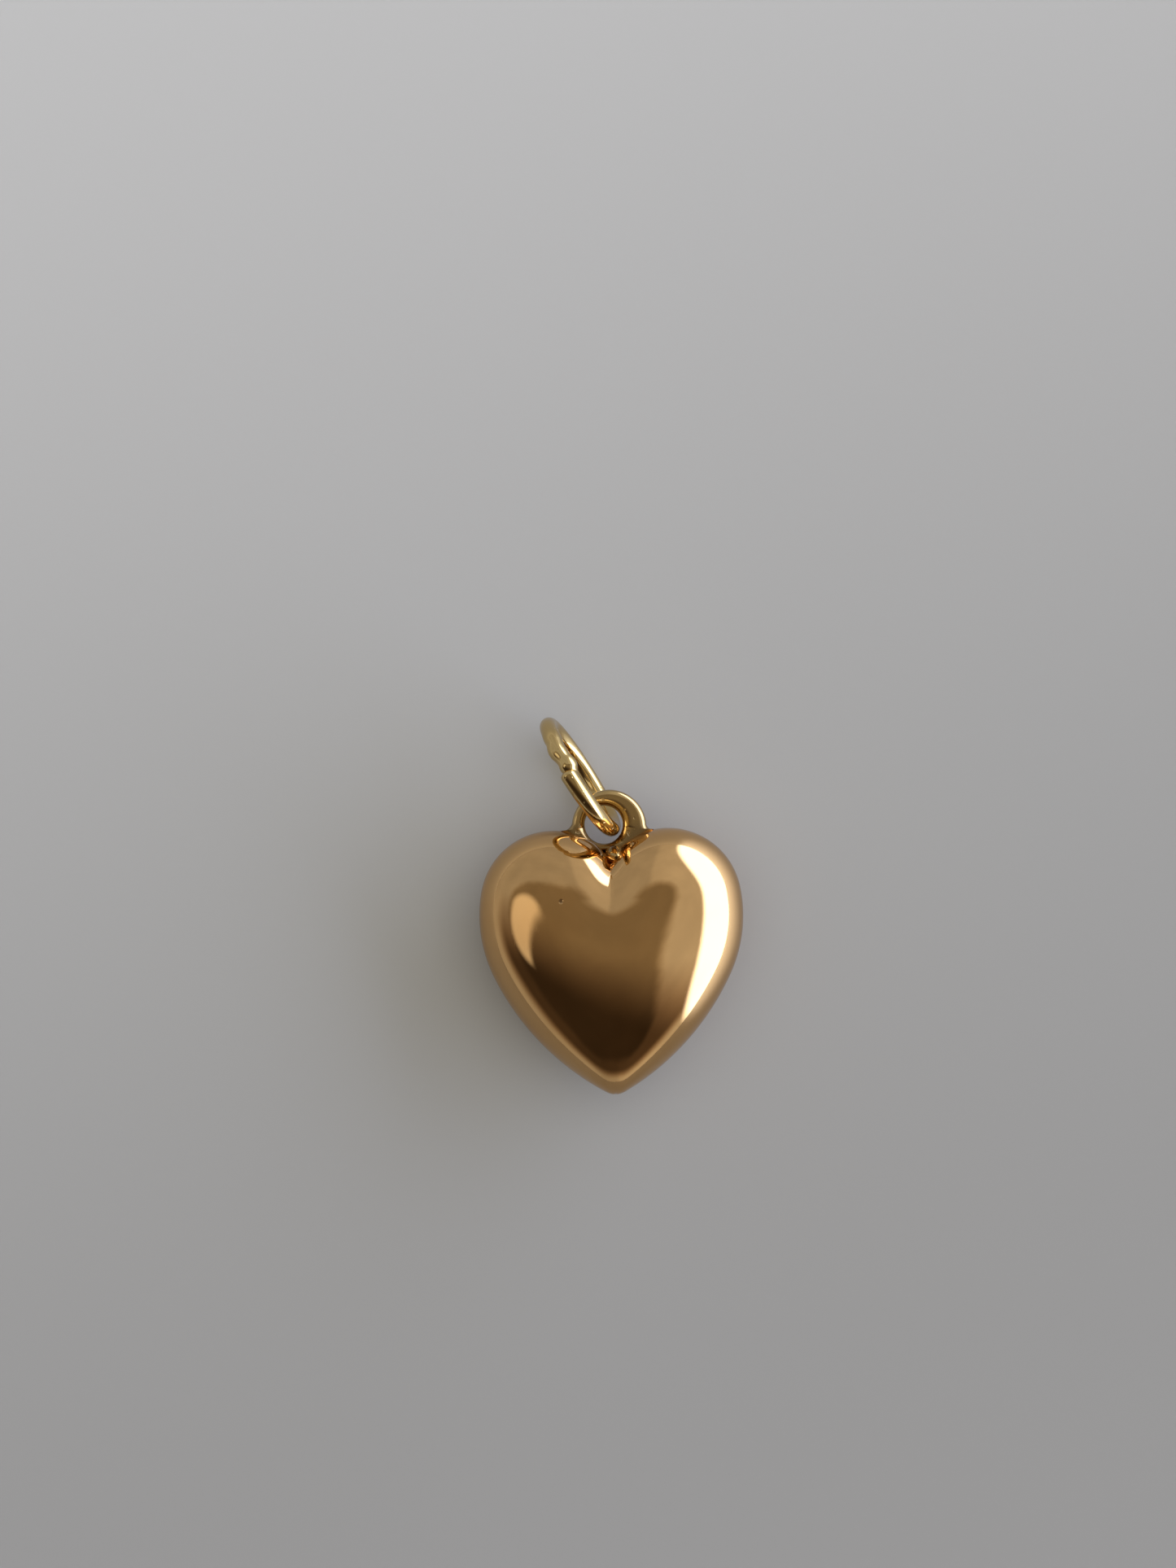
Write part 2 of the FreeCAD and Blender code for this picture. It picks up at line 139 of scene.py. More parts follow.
def half_outline(inset):
    """Arcs of the right half, from the notch to the tip: (centre, radius, first, last)."""
    lobe = np.array([LOBE_X, 0.0])
    flank = on_circle(lobe, LOBE_RADIUS - FLANK_RADIUS, LOBE_END)
    side = on_circle(flank, FLANK_RADIUS - SIDE_RADIUS, FLANK_END)
    tip_turn = -math.acos(-side[0]/(SIDE_RADIUS - TIP_RADIUS))
    tip = on_circle(side, SIDE_RADIUS - TIP_RADIUS, tip_turn)
    notch_turn = math.acos(-LOBE_X/(LOBE_RADIUS - inset))
    return [(lobe, LOBE_RADIUS - inset, notch_turn, LOBE_END),
            (flank, FLANK_RADIUS - inset, LOBE_END, FLANK_END),
            (side, SIDE_RADIUS - inset, FLANK_END, tip_turn),
            (tip, TIP_RADIUS - inset, tip_turn, -math.pi/2)]


def outline_stations(inset, count):
    """Evenly spaced places along the half outline: (point, where its rib crosses the middle line).

    The outline bends tighter in steps, from arc to arc. The ribs would show those steps as faint
    lines, so where they cross the middle line is averaged over a stretch of the outline.
    """
    arcs = half_outline(inset)
    joints = np.cumsum([0] + [radius*(first - last) for centre, radius, first, last in arcs])

    def place(run):
        """The point at this distance along the outline, and its own crossing."""
        here = min(int(np.searchsorted(joints, run, side="right")) - 1, len(arcs) - 1)
        centre, radius, first, last = arcs[here]
        turn = first - (run - joints[here])/radius
        point = on_circle(centre, radius, turn)
        return point, point[1] - point[0]*math.tan(turn/2)

    near = np.linspace(-1, 1, 41)
    weight = (1 - near**2)**2
    found = []
    for run in np.linspace(0, joints[-1], count + 1):
        stretch = SMOOTHING_LENGTH*math.sin(math.pi*run/joints[-1])**2
        crossings = [place(run + stretch*step)[1] for step in near]
        found.append((place(run)[0], np.average(crossings, weights=weight)))
    return found


print(f"half the outline is {sum(r*(a - b) for c, r, a, b in half_outline(0)):.2f} mm long")

# %% [markdown]
# ## The puffed surface
# A struck heart is not a ball with a dent. From every point of the rim the sheet rises upright and
# bends over towards the line of symmetry, and the two lobes rise higher than the valley between
# them. So the surface is drawn with ribs. Each rib leaves the rim at a right angle, follows an arc
# in plan, and climbs along an ellipse that swells beside the valley. Sculpting would give a softer
# but less even surface, and polished metal shows every unevenness.

# %% Work out the dome
CREST_Y = -2.2
CREASE_STRENGTH = 2.6
CREASE_GROWTH = 3
FULLNESS = 0.25


def spine_height(y, notch_y, tip_y, height):
    """Height of the dome over the line of symmetry: an ellipse pushed off its middle."""
    half = (notch_y - tip_y)/2
    push = CREST_Y - (notch_y + tip_y)/2
    past = y - CREST_Y
    share = 2*past/(half + math.sqrt(half**2 - 4*push*past))
    return height*math.sqrt(max(0.0, 1 - share**2))


def dome_points(inset, stations, steps):
    """Rows of points over the front half, one row a rib, from the right rim to the left."""
    places = outline_stations(inset, stations)
    notch_y, tip_y = places[0][0][1], places[-1][0][1]
    height = HALF_THICKNESS - inset
    rise = np.linspace(0, 1, steps + 1)
    out = 1 - rise**2
    rows = np.zeros((stations + 1, 2*steps + 1, 3))
    for row, (rim, start_y) in zip(rows, places):
        half = math.atan2(rim[1] - start_y, max(rim[0], 1e-9))
        top = spine_height(start_y, notch_y, tip_y, height)
        to_notch = max(0.0, (start_y - CREST_Y)/(notch_y - CREST_Y))
        swell = 1 + CREASE_STRENGTH*to_notch**CREASE_GROWTH
        bend = half*out
        share = np.sin(bend)/math.sin(half) if abs(half) > 1e-6 else out
        reach = rim[0]/math.cos(half)*share
        x = reach*np.cos(bend)
        y = start_y + reach*np.sin(bend)
        z = rise*top*np.sqrt(1 + swell*out + FULLNESS*out**2)
        row[:steps + 1] = np.stack([x, y, z], axis=1)
        row[steps:] = np.stack([-x, y, z], axis=1)[::-1]
    rows[0] = (0, notch_y, 0)
    rows[-1] = (0, tip_y, 0)
    return rows


STATIONS, STEPS = 200, 56
front_outer = dome_points(0, STATIONS, STEPS)
front_inner = dome_points(SHEET, STATIONS, STEPS)
print(f"the dome is {front_outer[..., 2].max():.2f} mm high over the seam")

# %% [markdown]
# ## The two halves
# Each half is a real sheet, with an inner and an outer surface and a flat rim between them, so the
# pendant is hollow as it should be. The back half is the same form turned over.

# %% Build both halves of the shell
def struck_half(name, side):
    """One half of the heart: side 1 is the front, side -1 the back."""
    turned = np.array([1, 1, side])
    columns = 2*STEPS + 1
    outer = (front_outer*turned).reshape(-1, 3)
    inner = (front_inner*turned).reshape(-1, 3)
    step = len(outer)
    faces = grid_faces(STATIONS + 1, columns) + grid_faces(STATIONS + 1, columns, step)
    for row in range(STATIONS):
        for column in (0, columns - 1):
            here, there = row*columns + column, (row + 1)*columns + column
            faces.append((here, there, there + step, here + step))
    return piece_from(name, to_row(np.vstack([outer, inner])), faces)


front = struck_half("front_half", 1)
back = struck_half("back_half", -1)

# %% [markdown]
# ## The hanging eye
# The eye is a cast lug with a drilled hole a little left of its middle. It stands in the notch on
# two flared feet that hug the lobes. Years of polishing have rounded its edges until its section is
# almost an oval. So it is made as a ring of such ovals: each one spans from the edge of the hole
# to the outline. A bevelled plate would keep flat faces that the real one no longer has.

# %% Shape the hanging eye
EYE_RADIUS = 1.77
EYE_OVER_LOBES = 0.108
EYE_Y = LOBE_RADIUS + EYE_OVER_LOBES
HOLE_FROM_EYE = (-0.25, 0.12)
HOLE = np.array([HOLE_FROM_EYE[0], EYE_Y + HOLE_FROM_EYE[1]])
HOLE_RADIUS = 0.9
EYE_HALF_THICKNESS = 0.43
FLARES = {-1: 0.5, 1: 0.3}
ROOT_HALF_WIDTH = 1.0
WEB_UNDER_HOLE = 0.33
ROOT_Y = HOLE[1] - HOLE_RADIUS - WEB_UNDER_HOLE
OUTER_SQUARENESS = 3.0
INNER_SQUARENESS = 2.1
EYE_SECTIONS, SECTION_POINTS = 480, 64


def sweep(centre, radius, first, last, count=90):
    """Points along an arc of the plan."""
    return [on_circle(centre, radius, turn) for turn in np.linspace(first, last, count)]


def heading(start, end):
    """The direction from one point of the plan to another."""
    return math.atan2(end[1] - start[1], end[0] - start[0])


def flare_centre(side):
    """Centre of the small circle that touches both the head of the eye and a lobe."""
    head, lobe = np.array([0, EYE_Y]), np.array([side*LOBE_X, 0])
    to_head, to_lobe = EYE_RADIUS + FLARES[side], LOBE_RADIUS + FLARES[side]
    apart = np.linalg.norm(lobe - head)
    along = (to_head**2 - to_lobe**2 + apart**2)/(2*apart)
    aside = math.sqrt(to_head**2 - along**2)
    towards = (lobe - head)/apart
    outwards = np.array([abs(towards[1])*side, abs(towards[0])])
    return head + towards*along + outwards*aside


def eye_outline():
    """The closed outline of the lug, from the right foot over the head to the left foot."""
    head = np.array([0, EYE_Y])
    left, right = flare_centre(-1), flare_centre(1)
    left_lobe, right_lobe = np.array([-LOBE_X, 0]), np.array([LOBE_X, 0])
    points = sweep(right, FLARES[1], heading(right, right_lobe), heading(head, right) - math.pi)
    points += sweep(head, EYE_RADIUS, heading(head, right), heading(head, left), 300)
    points += sweep(left, FLARES[-1], heading(left, head), heading(left, left_lobe))
    points += [np.array([-ROOT_HALF_WIDTH, ROOT_Y]), np.array([ROOT_HALF_WIDTH, ROOT_Y])]
    return np.array(points)


def evenly(points, count):
    """The same closed line with evenly spaced points."""
    closed = np.vstack([points, points[:1]])
    run = np.concatenate([[0], np.cumsum(np.linalg.norm(np.diff(closed, axis=0), axis=1))])
    where = np.linspace(0, run[-1], count, endpoint=False)
    return np.stack([np.interp(where, run, closed[:, axis]) for axis in (0, 1)], axis=1)


def rounded(turns):
    """Across and up along an oval that is squarer on its outer side than round the hole."""
    across, up = np.cos(turns), np.sin(turns)
    squareness = np.where(across > 0, OUTER_SQUARENESS, INNER_SQUARENESS)
    return np.sign(across)*abs(across)**(2/squareness), np.sign(up)*abs(up)**(2/squareness)


def hanging_eye():
    """The lug, as a closed ring of oval sections between the hole and the outline."""
    outer = evenly(eye_outline(), EYE_SECTIONS)
    away = outer - HOLE
    inner = HOLE + HOLE_RADIUS*away/np.linalg.norm(away, axis=1)[:, None]
    across, up = rounded(np.linspace(0, 2*math.pi, SECTION_POINTS, endpoint=False))
    middle, half = (outer + inner)/2, (outer - inner)/2
    plan = middle[:, None, :] + half[:, None, :]*across[None, :, None]
    height = np.broadcast_to(EYE_HALF_THICKNESS*up, plan.shape[:2])
    rows = np.concatenate([plan, height[..., None]], axis=2)
    rows = np.concatenate([rows, rows[:1]])
    faces = grid_faces(len(rows), rows.shape[1], around=True)
    return piece_from("cast_eye", to_row(rows.reshape(-1, 3)), faces)


eye = hanging_eye()

# %% [markdown]
# ## The solder at the root of the eye
# Solder runs into the notch, pulls itself into a rounded bead and freezes. It is never quite
# regular, so a ball is stretched to size and moved a little in and out with smooth noise. Its front
# half rises higher and narrows, as a drop does that was drawn up by the flame.

# %% Melt the solder bead
NOTCH_Y = math.sqrt(LOBE_RADIUS**2 - LOBE_X**2)
BEAD_FROM_NOTCH = (0.25, 0.04)
BEAD_AT = np.array([BEAD_FROM_NOTCH[0], NOTCH_Y + BEAD_FROM_NOTCH[1], 0.0])
BEAD_HALF_SIZES = np.array([0.60, 0.56, 0.98])
BEAD_FRONT_RISE = 0.76
BEAD_FRONT_SHIFT = np.array([0.02, 0.02, 0.0])
BEAD_FRONT_TAPER = 0.12
BEAD_EVEN_SIZE = 0.97
BEAD_UNEVENNESS = 0.06
BEAD_LUMP_SCALE = 1.7
BEAD_LUMP_START = Vector((3.1, 0.4, 7.2))


def solder_bead():
    """The frozen bead, which fills the notch under the eye from front to back."""
    work = bmesh.new()
    bmesh.ops.create_icosphere(work, subdivisions=5, radius=1)
    points = np.array([v.co for v in work.verts])
    faces = [[v.index for v in face.verts] for face in work.faces]
    work.free()
    uneven = np.array([noise.noise(Vector(p)*BEAD_LUMP_SCALE + BEAD_LUMP_START) for p in points])
    points *= BEAD_EVEN_SIZE + BEAD_UNEVENNESS*uneven[:, None]
    ahead = np.maximum(points[:, 2:], 0)
    points[:, :2] *= 1 - BEAD_FRONT_TAPER*ahead
    points[:, 2] *= 1 + BEAD_FRONT_RISE*(points[:, 2] > 0)
    placed = BEAD_AT + points*BEAD_HALF_SIZES + ahead*BEAD_FRONT_SHIFT
    return piece_from("solder", to_row(placed), faces)


bead = solder_bead()

# %% [markdown]
# ## Sums on sockets
# Node trees do arithmetic with one node for each sign, which is hard to read. This small class
# wraps a socket, so that ordinary Python sums add those nodes, and one method makes any other node.

# %% Wrap sockets and make nodes
class Wire:
    """An output of a node, for use in Python sums. Each sign adds its Math node."""

    def __init__(self, recipe, socket):
        self.recipe = recipe
        self.socket = socket

    def math(self, operation, *terms):
        return self.recipe.out("ShaderNodeMath", {"operation": operation}, dict(enumerate(terms)))

    def __add__(self, other):
        return self.math("ADD", self, other)

    def __sub__(self, other):
        return self.math("SUBTRACT", self, other)

    def __rsub__(self, other):
        return self.math("SUBTRACT", other, self)

    def __mul__(self, other):
        return self.math("MULTIPLY", self, other)

    def __truediv__(self, other):
        return self.math("DIVIDE", self, other)

    def __pow__(self, power):
        return self.math("POWER", self, power)

    __radd__ = __add__
    __rmul__ = __mul__


class Recipe:
    """A node tree that is filled from Python."""

    def __init__(self, tree):
        self.tree = tree

    def node(self, kind, settings=None, inputs=None):
        """A node of this type: its settings are set first, then its sockets' values or links."""
        made = self.tree.nodes.new(kind)
        for name, value in (settings or {}).items():
            setattr(made, name, value)
        for key, value in (inputs or {}).items():
            socket = made.inputs[key] if isinstance(key, int) else self.find(made.inputs, key)
            if isinstance(value, Wire):
                self.tree.links.new(value.socket, socket)
            else:
                socket.default_value = value
        return made

    def find(self, sockets, key):
        """A socket by its identifier or its name."""
        return next(s for s in sockets if key in (s.identifier, s.name))

    def out(self, kind, settings=None, inputs=None, output=0):
        """An output of a new node, ready for sums."""
        made = self.node(kind, settings, inputs)
        if isinstance(output, int):
            return Wire(self, made.outputs[output])
        return Wire(self, self.find(made.outputs, output))

    def smooth(self, value, low, high):
        """0 below low, 1 above high, and a smooth change between them."""
        return self.out("ShaderNodeMapRange", {"interpolation_type": "SMOOTHSTEP", "clamp": True},
                        {"Value": value, "From Min": low, "From Max": high})

    def noise(self, place, scale, detail=2.0):
        """Smooth noise between 0 and 1 over a place."""
        return self.out("ShaderNodeTexNoise",
                        inputs={"Vector": place, "Scale": scale, "Detail": detail})

    def distance(self, place, point):
        """How far a place is from a point."""
        return self.out("ShaderNodeVectorMath", {"operation": "DISTANCE"},
                        {"Vector": place, "Vector_001": point}, "Value")

    def stretch(self, place, sizes):
        """A place that is stretched by a size along each axis."""
        return self.out("ShaderNodeVectorMath", {"operation": "MULTIPLY"},
                        {"Vector": place, "Vector_001": sizes})

    def parts(self, place):
        """The three numbers of a place or a direction."""
        split = self.node("ShaderNodeSeparateXYZ", inputs={"Vector": place})
        return [Wire(self, socket) for socket in split.outputs]

    def blend(self, share, first, second):
        """A colour between two colours."""
        return self.out("ShaderNodeMix", {"data_type": "RGBA"},
                        {"Factor_Float": share, "A_Color": first, "B_Color": second},
                        "Result_Color")


print("sums on sockets are ready")

# %% [markdown]
# ## The jump ring
# A jump ring is cut from a coil, so it is one turn of a spiral whose ends don't quite meet. Here
# one end stands a little proud of the other, with its edge melted round, and the solder has run
# under it as a short tongue and left low lumps above. A ring that follows a rule is a good case
# for Geometry Nodes: a line is bent into the spiral, the wire is made thicker and thinner along it,
# and a round section is swept along. The sizes stay inputs. Each lump, and each bend to the side,
# is a row of three numbers: how far round from the join in radians, how wide, and how strong.

# %% Grow the ring in a node tree
RING_INPUTS = {
    "Ring Radius": 2.77, "Wire Radius": 0.4, "End Offset": 0.17, "End Step": 0.16,
    "Join Opening": math.radians(1.5), "Tongue": 0.30, "Lump Height": 0.038, "Unevenness": 0.03,
}
RING_STEPS, WIRE_SIDES = 900, 48
END_ROUNDING = 0.65
TONGUE_TIP = 0.35
LUMPS = ((0.02, 0.14, 1.0), (0.36, 0.20, 0.9), (0.66, 0.20, 0.5), (0.18, 0.12, -0.5))
SIDE_BENDS = ((0.38, 0.20, 0.06), (0.08, 0.14, -0.04))


def ring_tree(material):
    """The node tree: a line becomes one turn of wire with a soldered join."""
    tree = bpy.data.node_groups.new("jump_ring_tree", "GeometryNodeTree")
    sockets = {}
    for name, value in RING_INPUTS.items():
        socket = tree.interface.new_socket(name, in_out="INPUT", socket_type="NodeSocketFloat")
        socket.default_value = value
        sockets[name] = socket.identifier
    tree.interface.new_socket("Geometry", in_out="OUTPUT", socket_type="NodeSocketGeometry")
    recipe = Recipe(tree)
    entry = recipe.node("NodeGroupInput")
    given = {name: Wire(recipe, entry.outputs[name]) for name in RING_INPUTS}
    line = recipe.out("GeometryNodeCurvePrimitiveLine")
    points = recipe.out("GeometryNodeResampleCurve", inputs={"Curve": line, "Count": RING_STEPS})
    share = recipe.out("GeometryNodeSplineParameter")
    last_turn = 2*math.pi - given["Join Opening"]
    turn = share*(last_turn + given["Tongue"]) - given["Tongue"]
    radius = given["Ring Radius"] + given["End Step"]*share
    to_end = (last_turn - turn)*radius/(given["Wire Radius"]*END_ROUNDING)
    past_tip = (turn + given["Tongue"])*radius/given["Wire Radius"]

    def swelling(where, width):
        """A smooth bump along the wire, this far round from the join."""
        return 1 - recipe.smooth(turn.math("ABSOLUTE", turn - where), 0.0, width)

    def swellings(rows):
        """Several such bumps together, each as strong as its row says."""
        return sum(swelling(where, width)*strength for where, width, strength in rows)

    def rounded_off(distance):
        """1 along the wire, down to 0 at an end that is melted round."""
        short = 1 - distance.math("MINIMUM", distance, 1.0)
        return (1 - short*short)**0.5

    place = recipe.out("ShaderNodeCombineXYZ", inputs={
        "X": radius*turn.math("COSINE", turn), "Y": radius*turn.math("SINE", turn),
        "Z": given["End Offset"]*share + swellings(SIDE_BENDS)})
    spiral = recipe.out("GeometryNodeSetPosition", inputs={"Geometry": points, "Position": place})
    uneven = recipe.noise(place, 0.9) - 0.5
    tongue = TONGUE_TIP + recipe.smooth(turn, given["Tongue"]*-1, 0.03)*(1 - TONGUE_TIP)
    thick = given["Wire Radius"]*(1 + uneven*given["Unevenness"])*tongue
    thick = thick + given["Lump Height"]*swellings(LUMPS)
    thick = thick*rounded_off(to_end)*rounded_off(past_tip)
    section = recipe.out("GeometryNodeCurvePrimitiveCircle",
                         inputs={"Resolution": WIRE_SIDES, "Radius": 1.0})
    wire = recipe.out("GeometryNodeCurveToMesh", inputs={
        "Curve": spiral, "Profile Curve": section, "Scale": thick, "Fill Caps": False})
    real = recipe.out("GeometryNodeRealizeInstances", inputs={"Geometry": wire})
    dressed = recipe.out("GeometryNodeSetMaterial", inputs={"Geometry": real, "Material": material})
    recipe.node("NodeGroupOutput", inputs={"Geometry": dressed})
    return tree, sockets


# %% [markdown]
# ## Where the ring lies
# The ring leans out through the eye and rests on the surface under the pendant. Its middle follows
# from the hinge in the hole of the eye, its swing, its lean, and the little play that it has.

# %% Find the ring's place
RING_OUTER_RADIUS = 3.25
SWING = math.radians(31.2)
LEAN = math.radians(6.4)
SEAT_TURN = math.radians(43)
JOIN_TURN = math.radians(102)
RUNNING_GAP = 0.08


def ring_place():
    """The matrix that carries the ring from its own middle to its place, in millimetres."""
    wire = RING_INPUTS["Wire Radius"]
    radius = RING_OUTER_RADIUS - wire
    outwards = Vector((-math.sin(SWING), math.cos(SWING), 0))
    rightwards = Vector((math.cos(SWING), math.sin(SWING), 0))
    up = Vector((0, 0, math.cos(LEAN))) - rightwards*math.sin(LEAN)
    height = radius*math.cos(LEAN) + wire - HALF_THICKNESS
    play = HOLE_RADIUS - wire - RUNNING_GAP
    seat = rightwards*play*math.sin(SEAT_TURN) - outwards*play*math.cos(SEAT_TURN)
    reach = math.sqrt(radius**2 - (height/math.cos(LEAN))**2)
    hinge = Vector(frame["joints"][0]["pos_m"])/MM
    centre = hinge + seat + outwards*reach + Vector((0, 0, height))
    to_join = up*math.sin(JOIN_TURN) - outwards*math.cos(JOIN_TURN)
    along = up*math.cos(JOIN_TURN) + outwards*math.sin(JOIN_TURN)
    axis = to_join.cross(along)
    turned = Matrix((to_join, along, axis)).transposed().to_4x4()
    middle = Vector((0, 0, RING_INPUTS["End Offset"]/2))
    return Matrix.Translation(centre - turned.to_3x3() @ middle) @ turned


print("the ring's own middle is at", [round(v, 3) for v in ring_place().translation], "mm")

# %% [markdown]
# ## Gold
# Gold is a metal, so its colour is in what it reflects. Four finishes show here. The heart is a
# pale rose gold and the ring a yellower one. The eye is cast and duller, and the solder froze as it
# flowed. A surface that is polished on a wheel has three small faults, from large to small: slow
# waves that bend reflections, fine hairlines from the cloth, and patches where the shine is a
# little duller. All three come from noise over the piece's own place in space, so they have the
# same size everywhere. What only one piece has, its marks, is added last: brown grime with painted
# shade at the root of the eye and along its joint with the lobes, the soldered seam of the heart,
# and one small pit.

# %% Mix the golds
PATCH_SCALE, WAVE_SCALE, RIPPLE_SCALE, PORE_SCALE = 260.0, 420.0, 2600.0, 3900.0
HAIRLINE_SCALE, CROSS_LINE_SCALE = 26000.0, 21000.0
SCRATCH_DEPTH = 1.2e-7
PORE_DEPTH = 0.012*MM
PIT_DEPTH = 0.02*MM
# Brown grime with painted shade: it darkens the gold at the root of the eye and along the eye's
# joint with the lobes.
DIRT_AND_SHADE_COLOUR = (0.20, 0.13, 0.07, 1)
SEAM_COLOUR = (0.72, 0.48, 0.20, 1)
PIT_COLOUR = (0.16, 0.09, 0.05, 1)
DIRT_AND_SHADE_AT = to_row([(0, NOTCH_Y + 0.35, 0)])[0]
PIT_AT = to_row([(-2.337, 0.262, 3.0)])[0]
PIT_FLATTENING = (1.0, 1.0, 0.3)


def gold(name, colour, deep, waves, dullness, porous, marks):
    """A polished gold: its colour, a deeper one for patches, wave height in metres, and dullness.

    A cast piece is porous (1) and sheet isn't (0). The marks are what only this piece has.
    """
    made = bpy.data.materials.new(name)
    made.use_nodes = True
    made.node_tree.nodes.clear()
    recipe = Recipe(made.node_tree)
    place = recipe.out("ShaderNodeTexCoord", output="Object")
    patches = recipe.smooth(recipe.noise(place, PATCH_SCALE, 3.0), 0.42, 0.68)
    hairlines = recipe.noise(recipe.stretch(place, (1.0, 0.06, 1.0)), HAIRLINE_SCALE, 1.0)
    cross_lines = recipe.noise(recipe.stretch(place, (0.07, 1.0, 1.0)), CROSS_LINE_SCALE, 1.0)
    scratches = recipe.smooth(hairlines, 0.66, 0.74) + recipe.smooth(cross_lines, 0.68, 0.76)
    slow = recipe.noise(place, WAVE_SCALE, 1.0)
    fast = recipe.noise(place, RIPPLE_SCALE, 2.0)
    pores = recipe.smooth(recipe.noise(place, PORE_SCALE, 0.0), 0.76, 0.82)*porous
    height = slow*waves + fast*(waves*0.035) - scratches*SCRATCH_DEPTH - pores*PORE_DEPTH
    rough = dullness*(0.8 + patches*0.5) + scratches*0.05 + pores*0.2
    tone = recipe.blend(patches*0.55, (*colour, 1), (*deep, 1))
    tone, rough, height = marks(recipe, place, tone, rough, height)
    normal = recipe.out("ShaderNodeBump",
                        inputs={"Strength": 1.0, "Distance": 1.0, "Height": height})
    metal = recipe.out("ShaderNodeBsdfPrincipled", inputs={
        "Base Color": tone, "Metallic": 1.0, "Roughness": rough, "Normal": normal})
    recipe.node("ShaderNodeOutputMaterial", inputs={"Surface": metal})
    return made


def near_root(recipe, place, near, far):
    """1 close to the root of the eye, 0 far from it, between two distances in millimetres."""
    return 1 - recipe.smooth(recipe.distance(place, tuple(DIRT_AND_SHADE_AT)), near*MM, far*MM)


def soiled_and_shaded(recipe, place, dirt_and_shade, tone, rough):
    """Brown grime and dried polish with painted shade, patchy, as strong as dirt_and_shade says."""
    dirt_and_shade = dirt_and_shade*recipe.smooth(recipe.noise(place, 900.0, 4.0), 0.1, 0.5)
    return recipe.blend(dirt_and_shade*0.65, tone, DIRT_AND_SHADE_COLOUR), rough + dirt_and_shade*0.15


def eye_marks(recipe, place, tone, rough, height, shade=0.8):
    """Grime and painted shade on the eye, ring and solder, at the root and along the joint with the
    lobes.
    """
    x, y, z = recipe.parts(place)
    aside = x.math("ABSOLUTE", x) - LOBE_X*MM
    ahead = y - LOBE_LINE_Y*MM
    off_lobe = (aside*aside + ahead*ahead)**0.5 - LOBE_RADIUS*MM
    # Painted shade, with some grime, along the joint where the eye's feet meet the lobes and round
    # the root.
    joint = 1 - recipe.smooth(off_lobe, 0.10*MM, 0.85*MM)
    dirt_and_shade = joint.math("MAXIMUM", joint*shade, near_root(recipe, place, 0.4, 1.3)*shade)
    tone, rough = soiled_and_shaded(recipe, place, dirt_and_shade, tone, rough)
    return tone, rough, height


def bead_marks(recipe, place, tone, rough, height):
    """The solder gets the same grime and painted shade as the eye, at 0.5 where the eye has 0.8."""
    return eye_marks(recipe, place, tone, rough, height, 0.5)


def heart_marks(recipe, place, tone, rough, height):
    """What only the heart has: the soldered seam, and one small pit. The grime and painted shade at
    the root of the eye are there as well.
    """
    # Painted shade, with some grime, in the valley round the root of the eye.
    tone, rough = soiled_and_shaded(recipe, place, near_root(recipe, place, 0.4, 1.2), tone, rough)
    x, y, z = recipe.parts(place)
    off_seam = z.math("ABSOLUTE", z - SEAM_Z*MM)
    seam = 1 - recipe.smooth(off_seam, 0.012*MM, 0.035*MM)
    tone = recipe.blend(seam*0.5, tone, SEAM_COLOUR)
    rough = rough + seam*0.08
    flat = recipe.stretch(place, PIT_FLATTENING)
    from_pit = recipe.distance(flat, tuple(PIT_AT*PIT_FLATTENING))
    pit = 1 - recipe.smooth(from_pit, 0.05*MM, 0.15*MM)
    tone = recipe.blend(pit*0.7, tone, PIT_COLOUR)
    return tone, rough, height - pit*PIT_DEPTH


rose_gold = gold("rose_gold_polished", (0.80, 0.49, 0.21), (0.74, 0.43, 0.17),
                 waves=7.0e-6, dullness=0.05, porous=0.0, marks=heart_marks)
yellow_gold = gold("yellow_gold_polished", (0.78, 0.56, 0.24), (0.64, 0.43, 0.16),
                   waves=5.0e-6, dullness=0.10, porous=1.0, marks=eye_marks)
cast_gold = gold("yellow_gold_cast", (0.71, 0.50, 0.22), (0.56, 0.37, 0.15),
                 waves=6.0e-6, dullness=0.12, porous=1.0, marks=eye_marks)
solder_gold = gold("solder_gold", (0.74, 0.50, 0.19), (0.56, 0.36, 0.12),
                   waves=5.0e-6, dullness=0.14, porous=1.0, marks=bead_marks)
for piece, metal in ((front, rose_gold), (back, rose_gold), (eye, cast_gold), (bead, solder_gold)):
    piece.data.materials.append(metal)
    print(f"{piece.name} is made of {metal.name}")

# %% [markdown]
# ## Bake the ring
# The tree is put on an empty object as a modifier, its inputs are set, and the result is copied
# out as a plain mesh. The copy is then carried to its place, so the object itself stays at the
# origin, as every piece does.

# %% Bake the ring to a mesh
def baked_ring():
    """The ring as a plain mesh in its place."""
    tree, sockets = ring_tree(yellow_gold)
    holder = bpy.data.objects.new("ring_holder", bpy.data.meshes.new("ring_holder"))
    scene.collection.objects.link(holder)
    grow = holder.modifiers.new("grow", "NODES")
    grow.node_group = tree
    for name, value in RING_INPUTS.items():
        grow[sockets[name]] = value
    bpy.context.view_layer.update()
    grown = holder.evaluated_get(bpy.context.evaluated_depsgraph_get())
    mesh = bpy.data.meshes.new_from_object(grown)
    holder.modifiers.remove(grow)
    bpy.data.objects.remove(holder)
    mesh.transform(Matrix.Scale(MM, 4) @ ring_place())
    mesh.shade_smooth()
    mesh.set_sharp_from_angle(angle=math.radians(60))
    made = bpy.data.objects.new("wire_ring", mesh)
    scene.collection.objects.link(made)
    print(f"wire_ring: {len(mesh.vertices)} points, {len(mesh.polygons)} faces")
    return made


ring = baked_ring()

# %% [markdown]
# ## Give the pieces to the frame
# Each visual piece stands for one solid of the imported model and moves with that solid's body. The
# ring is the only piece that swings.

